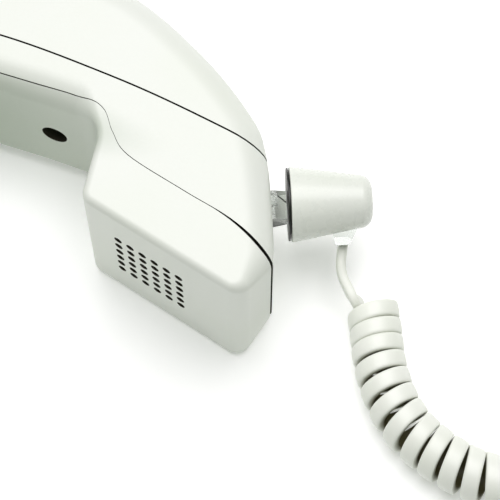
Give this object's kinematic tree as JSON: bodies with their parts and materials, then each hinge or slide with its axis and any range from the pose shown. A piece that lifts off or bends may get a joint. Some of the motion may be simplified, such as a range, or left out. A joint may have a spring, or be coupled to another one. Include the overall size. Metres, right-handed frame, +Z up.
{
  "type": "corded telephone handset",
  "caption": "White corded telephone handset lying on its side, with a swivel cord detangler plugged into its mouthpiece end and a curly cord that ends in a modular plug.",
  "frame": {"origin": "on the table under the middle of the handset's box, without the detangler and the cord", "axes": "+X from the earpiece to the mouthpiece, +Y out of the back of the handset, +Z up, which is the handset's width because it lies on its side"},
  "size_m": [0.3283, 0.1271, 0.045],
  "materials": {
    "white_abs": "fine satin moulded ABS",
    "cord_pvc": "soft extruded PVC",
    "clear_plastic": "clear moulded polycarbonate",
    "gold": "gold-plated phosphor bronze",
    "steel": "zinc-plated steel",
    "rubber": "black rubber",
    "black_acetal": "smooth black acetal",
    "felt": "black acoustic felt",
    "foam": "grey closed-cell foam",
    "nylon": "grey moulded nylon",
    "lead_pvc": "red PVC lead insulation"
  },
  "bodies": {
    "handset": {"front_cover": "white_abs", "middle_frame": "white_abs", "back_cover": "white_abs", "handset_screw_1": "steel", "handset_screw_2": "steel", "microphone_felt": "felt", "microphone_boot": "rubber", "microphone_capsule": "steel", "receiver_felt": "felt", "receiver_gasket": "foam", "receiver_capsule": "nylon", "receiver_magnet": "steel", "steel_weight": "steel", "handset_jack": "nylon", "handset_jack_contacts": "gold", "microphone_leads": "lead_pvc", "receiver_leads": "lead_pvc"},
    "detangler_core": {"detangler_plug": "clear_plastic", "detangler_rotor": "black_acetal", "detangler_plug_contact_1": "gold", "detangler_plug_contact_2": "gold", "detangler_plug_contact_3": "gold", "detangler_plug_contact_4": "gold", "slip_ring_1": "gold", "slip_ring_2": "gold", "slip_ring_3": "gold", "slip_ring_4": "gold"},
    "core_latch": {"detangler_plug_latch": "clear_plastic"},
    "swivel": {"detangler_housing": "white_abs", "detangler_jack_insert": "nylon", "detangler_jack_contacts": "gold", "slip_ring_brush_1": "gold", "slip_ring_brush_2": "gold", "slip_ring_brush_3": "gold", "slip_ring_brush_4": "gold"},
    "cord": {"cord_plug": "clear_plastic", "cord_plug_contact_1": "gold", "cord_plug_contact_2": "gold", "cord_plug_contact_3": "gold", "cord_plug_contact_4": "gold", "upper_cord": "cord_pvc", "curly_cord": "cord_pvc", "lower_cord": "cord_pvc", "wall_plug": "clear_plastic", "wall_plug_contact_1": "gold", "wall_plug_contact_2": "gold", "wall_plug_contact_3": "gold", "wall_plug_contact_4": "gold"},
    "cord_latch": {"cord_plug_latch": "clear_plastic"},
    "wall_latch": {"wall_plug_latch": "clear_plastic"}
  },
  "joints": [
    {"name": "detangler_unplug", "type": "slide", "parent": "handset", "child": "detangler_core", "axis": [0.9409, 0.3387, 0], "range_m": [0, 0.014]},
    {"name": "detangler_swivel", "type": "hinge", "parent": "detangler_core", "child": "swivel", "pos_m": [0.099, -0.00237, 0.0225], "axis": [0.9409, 0.3387, 0], "continuous": true},
    {"name": "cord_unplug", "type": "slide", "parent": "swivel", "child": "cord", "axis": [0.2177, -0.6048, -0.766], "range_m": [0, 0.012]},
    {"name": "core_latch_press", "type": "hinge", "parent": "detangler_core", "child": "core_latch", "pos_m": [0.08729, -0.00765, 0.0266], "axis": [-0.3387, 0.9409, 0], "range_deg": [0, 8], "stiffness_Nm_per_rad": 0.05},
    {"name": "cord_latch_press", "type": "hinge", "parent": "cord", "child": "cord_latch", "pos_m": [0.10731, 0.00171, 0.02373], "axis": [0.2595, -0.7208, 0.6428], "range_deg": [0, 8], "stiffness_Nm_per_rad": 0.05},
    {"name": "wall_latch_press", "type": "hinge", "parent": "cord", "child": "wall_latch", "pos_m": [0.1989, -0.06642, 0.0039], "axis": [0, 0, -1], "range_deg": [0, 8], "stiffness_Nm_per_rad": 0.05}
  ]
}
